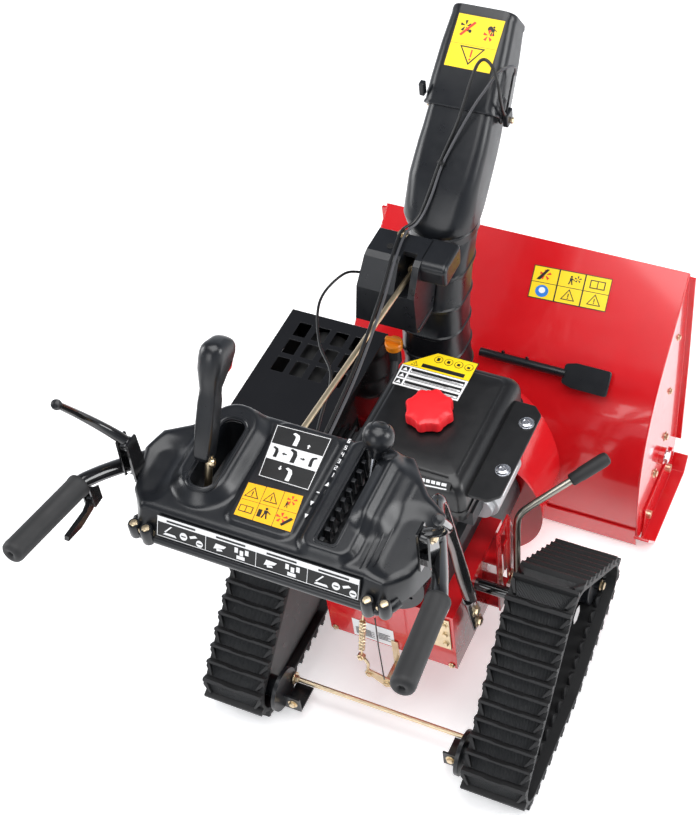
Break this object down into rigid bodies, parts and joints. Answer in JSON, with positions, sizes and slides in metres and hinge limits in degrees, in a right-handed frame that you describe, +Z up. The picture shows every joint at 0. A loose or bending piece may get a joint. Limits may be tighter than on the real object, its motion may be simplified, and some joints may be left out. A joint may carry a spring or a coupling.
{
  "type": "snow blower",
  "caption": "Two-stage petrol snow blower on rubber tracks with a turning chute, joystick control and a lever-set track carriage.",
  "frame": {"origin": "centre of the machine's bounding box at ground level", "axes": "+X to the operator's right, +Y forward towards the augers, +Z up"},
  "size_m": [0.724, 1.3159, 1.1424],
  "materials": {
    "red_paint": "glossy red enamel",
    "black_gloss": "glossy black enamel",
    "black_plastic": "fine textured black plastic",
    "rubber": "matte black rubber",
    "zinc": "yellow zinc plate",
    "steel": "plain steel",
    "cast_grey": "dark cast metal",
    "silver": "satin silver",
    "orange": "orange plastic",
    "red_plastic": "red plastic",
    "cable": "black cable sheath"
  },
  "bodies": {
    "machine": {"main_frame": "red_paint", "belt_cover": "black_plastic", "auger_housing": "red_paint", "side_plates": "red_paint", "impeller_drum": "red_paint", "scraper_bar": "red_paint", "skid_shoes": "red_paint", "fasteners": "zinc", "auger_gearbox": "cast_grey", "drive_belts": "rubber", "drive_chain": "steel", "engine_block": "cast_grey", "recoil_cover": "black_plastic", "starter_motor": "silver", "muffler": "silver", "muffler_guard": "black_gloss", "fuel_tank": "black_gloss", "engine_controls": "black_plastic", "handle_tubes": "black_gloss", "dash_panel": "black_plastic", "grips": "rubber", "lever_brackets": "black_gloss", "chute_column": "black_plastic", "chute_gearbox": "black_plastic", "dash_cables": "cable"},
    "fuel_cap": {"fuel_cap": "red_plastic"},
    "oil_cap": {"oil_cap": "orange"},
    "recoil_handle": {"recoil_handle": "rubber"},
    "choke": {"choke_knob": "black_plastic"},
    "primer": {"primer_button": "red_plastic"},
    "key": {"ignition_key": "red_plastic"},
    "auger_lever": {"auger_lever": "black_gloss"},
    "drive_lever": {"drive_lever": "black_gloss"},
    "trigger_left": {"steering_trigger_left": "black_gloss"},
    "trigger_right": {"steering_trigger_right": "black_gloss"},
    "yoke": {"joystick_yoke": "zinc"},
    "joystick": {"joystick": "black_plastic"},
    "joystick_trigger": {"joystick_trigger": "red_plastic"},
    "speed_lever": {"speed_lever": "black_plastic"},
    "chute_rod": {"chute_rod": "zinc"},
    "chute": {"chute_upper": "black_plastic", "chute_cables": "cable"},
    "deflector": {"deflector": "black_plastic"},
    "auger": {"augers": "red_paint", "auger_shaft": "steel"},
    "impeller": {"impeller": "red_paint", "impeller_shaft": "steel"},
    "crank": {"crankshaft": "steel"},
    "disc": {"friction_disc": "steel"},
    "hex_shaft": {"hex_shaft": "steel"},
    "friction_wheel": {"friction_wheel": "rubber"},
    "axle": {"drive_axle": "black_gloss", "drive_sprockets": "black_plastic"},
    "track_carriage": {"track_frames": "black_gloss", "rear_rod": "zinc", "track_belts": "rubber"},
    "rear_idlers": {"rear_idlers": "black_plastic"},
    "front_idlers": {"front_idlers": "black_plastic"},
    "track_lever": {"track_lever": "zinc"},
    "cleanout_tool": {"cleanout_tool": "black_plastic"}
  },
  "joints": [
    {"name": "auger_spin", "type": "hinge", "parent": "machine", "child": "auger", "pos_m": [0, 0.512, 0.15], "axis": [1, 0, 0], "continuous": true},
    {"name": "impeller_spin", "type": "hinge", "parent": "machine", "child": "impeller", "pos_m": [0, 0, 0.185], "axis": [0, 1, 0], "continuous": true},
    {"name": "crank_spin", "type": "hinge", "parent": "machine", "child": "crank", "pos_m": [0, 0, 0.416], "axis": [0, 1, 0], "continuous": true},
    {"name": "disc_spin", "type": "hinge", "parent": "machine", "child": "disc", "pos_m": [0.045, 0, 0.262], "axis": [0, 1, 0], "continuous": true},
    {"name": "hex_spin", "type": "hinge", "parent": "machine", "child": "hex_shaft", "pos_m": [0, 0.047, 0.262], "axis": [1, 0, 0], "continuous": true},
    {"name": "wheel_slide", "type": "slide", "parent": "hex_shaft", "child": "friction_wheel", "axis": [1, 0, 0], "range_m": [0, 0.054]},
    {"name": "axle_spin", "type": "hinge", "parent": "machine", "child": "axle", "pos_m": [0, -0.017, 0.285], "axis": [1, 0, 0], "continuous": true},
    {"name": "carriage_tilt", "type": "hinge", "parent": "machine", "child": "track_carriage", "pos_m": [0, -0.017, 0.285], "axis": [1, 0, 0], "range_deg": [-5, 5]},
    {"name": "rear_idler_spin", "type": "hinge", "parent": "track_carriage", "child": "rear_idlers", "pos_m": [0, -0.25, 0.067], "axis": [1, 0, 0], "continuous": true},
    {"name": "front_idler_spin", "type": "hinge", "parent": "track_carriage", "child": "front_idlers", "pos_m": [0, 0.165, 0.132], "axis": [1, 0, 0], "continuous": true},
    {"name": "track_lever_swing", "type": "hinge", "parent": "machine", "child": "track_lever", "pos_m": [0.176, 0.084, 0.19], "axis": [1, 0, 0], "range_deg": [-15.5, 15.5]},
    {"name": "chute_rotate", "type": "hinge", "parent": "machine", "child": "chute", "pos_m": [-0.065, 0.38274, 0.8], "axis": [0, 0, 1], "range_deg": [-100, 100]},
    {"name": "deflector_tilt", "type": "hinge", "parent": "chute", "child": "deflector", "pos_m": [-0.065, 0.517, 0.967], "axis": [1, 0, 0], "range_deg": [-50, 0]},
    {"name": "chute_rod_spin", "type": "hinge", "parent": "machine", "child": "chute_rod", "pos_m": [-0.053, -0.33, 0.895], "axis": [-0.0293, 0.987, -0.1577], "range_deg": [-175, 175]},
    {"name": "joystick_side", "type": "hinge", "parent": "machine", "child": "yoke", "pos_m": [-0.124, -0.43, 0.85], "axis": [0, 1, 0], "range_deg": [-7.2, 7.2]},
    {"name": "joystick_fore", "type": "hinge", "parent": "yoke", "child": "joystick", "pos_m": [-0.124, -0.43, 0.85], "axis": [1, 0, 0], "range_deg": [-0.5, 12.5]},
    {"name": "joystick_trigger_press", "type": "slide", "parent": "joystick", "child": "joystick_trigger", "axis": [0, -0.9135, 0.4067], "range_m": [0, 0.005], "stiffness_N_per_m": 400, "springref_m": -0.002},
    {"name": "speed_select", "type": "hinge", "parent": "machine", "child": "speed_lever", "pos_m": [0.097, -0.36, 0.79], "axis": [1, 0, 0], "range_deg": [0, 52]},
    {"name": "auger_lever_squeeze", "type": "hinge", "parent": "machine", "child": "auger_lever", "pos_m": [-0.251, -0.409, 0.978], "axis": [1, 0, 0], "range_deg": [0, 55], "stiffness_Nm_per_rad": 0.3, "springref_deg": -28.65},
    {"name": "drive_lever_squeeze", "type": "hinge", "parent": "machine", "child": "drive_lever", "pos_m": [0.251, -0.409, 0.978], "axis": [1, 0, 0], "range_deg": [0, 55], "stiffness_Nm_per_rad": 0.3, "springref_deg": -28.65},
    {"name": "trigger_left_squeeze", "type": "hinge", "parent": "machine", "child": "trigger_left", "pos_m": [-0.294, -0.473, 0.903], "axis": [1, 0, 0], "range_deg": [-12, 0], "stiffness_Nm_per_rad": 0.3, "springref_deg": 28.65},
    {"name": "trigger_right_squeeze", "type": "hinge", "parent": "machine", "child": "trigger_right", "pos_m": [0.294, -0.473, 0.903], "axis": [1, 0, 0], "range_deg": [-12, 0], "stiffness_Nm_per_rad": 0.3, "springref_deg": 28.65},
    {"name": "fuel_cap_twist", "type": "hinge", "parent": "machine", "child": "fuel_cap", "pos_m": [0.031, 0.063, 0.641], "axis": [0, 0, 1], "range_deg": [0, 90]},
    {"name": "oil_cap_twist", "type": "hinge", "parent": "machine", "child": "oil_cap", "pos_m": [-0.121, 0.238, 0.592], "axis": [0, 0, 1], "range_deg": [0, 90]},
    {"name": "recoil_pull", "type": "slide", "parent": "machine", "child": "recoil_handle", "axis": [0, -1, 0], "range_m": [0, 0.3], "stiffness_N_per_m": 10, "springref_m": -0.1},
    {"name": "choke_turn", "type": "hinge", "parent": "machine", "child": "choke", "pos_m": [-0.12, -0.106, 0.54], "axis": [0, 1, 0], "range_deg": [0, 90]},
    {"name": "primer_press", "type": "slide", "parent": "machine", "child": "primer", "axis": [0, 1, 0], "range_m": [0, 0.004], "stiffness_N_per_m": 400, "springref_m": -0.002},
    {"name": "key_turn", "type": "hinge", "parent": "machine", "child": "key", "pos_m": [-0.12, -0.106, 0.49], "axis": [0, 1, 0], "range_deg": [0, 60]},
    {"name": "cleanout_lift", "type": "slide", "parent": "machine", "child": "cleanout_tool", "axis": [0, 0, 1], "range_m": [0, 0.3]}
  ],
  "couplings": [
    {"joint": "impeller_spin", "follows": "auger_spin", "ratio": -10},
    {"joint": "hex_spin", "follows": "axle_spin", "ratio": 1.6774},
    {"joint": "wheel_slide", "follows": "speed_select", "m_per_rad": 0.058},
    {"joint": "rear_idler_spin", "follows": "axle_spin", "ratio": 1.0667},
    {"joint": "front_idler_spin", "follows": "axle_spin", "ratio": 1.0667},
    {"joint": "track_lever_swing", "follows": "carriage_tilt", "ratio": 3},
    {"joint": "chute_rod_spin", "follows": "chute_rotate", "ratio": 1.7},
    {"joint": "joystick_side", "follows": "chute_rotate", "ratio": 0.07},
    {"joint": "joystick_fore", "follows": "deflector_tilt", "ratio": -0.24}
  ]
}
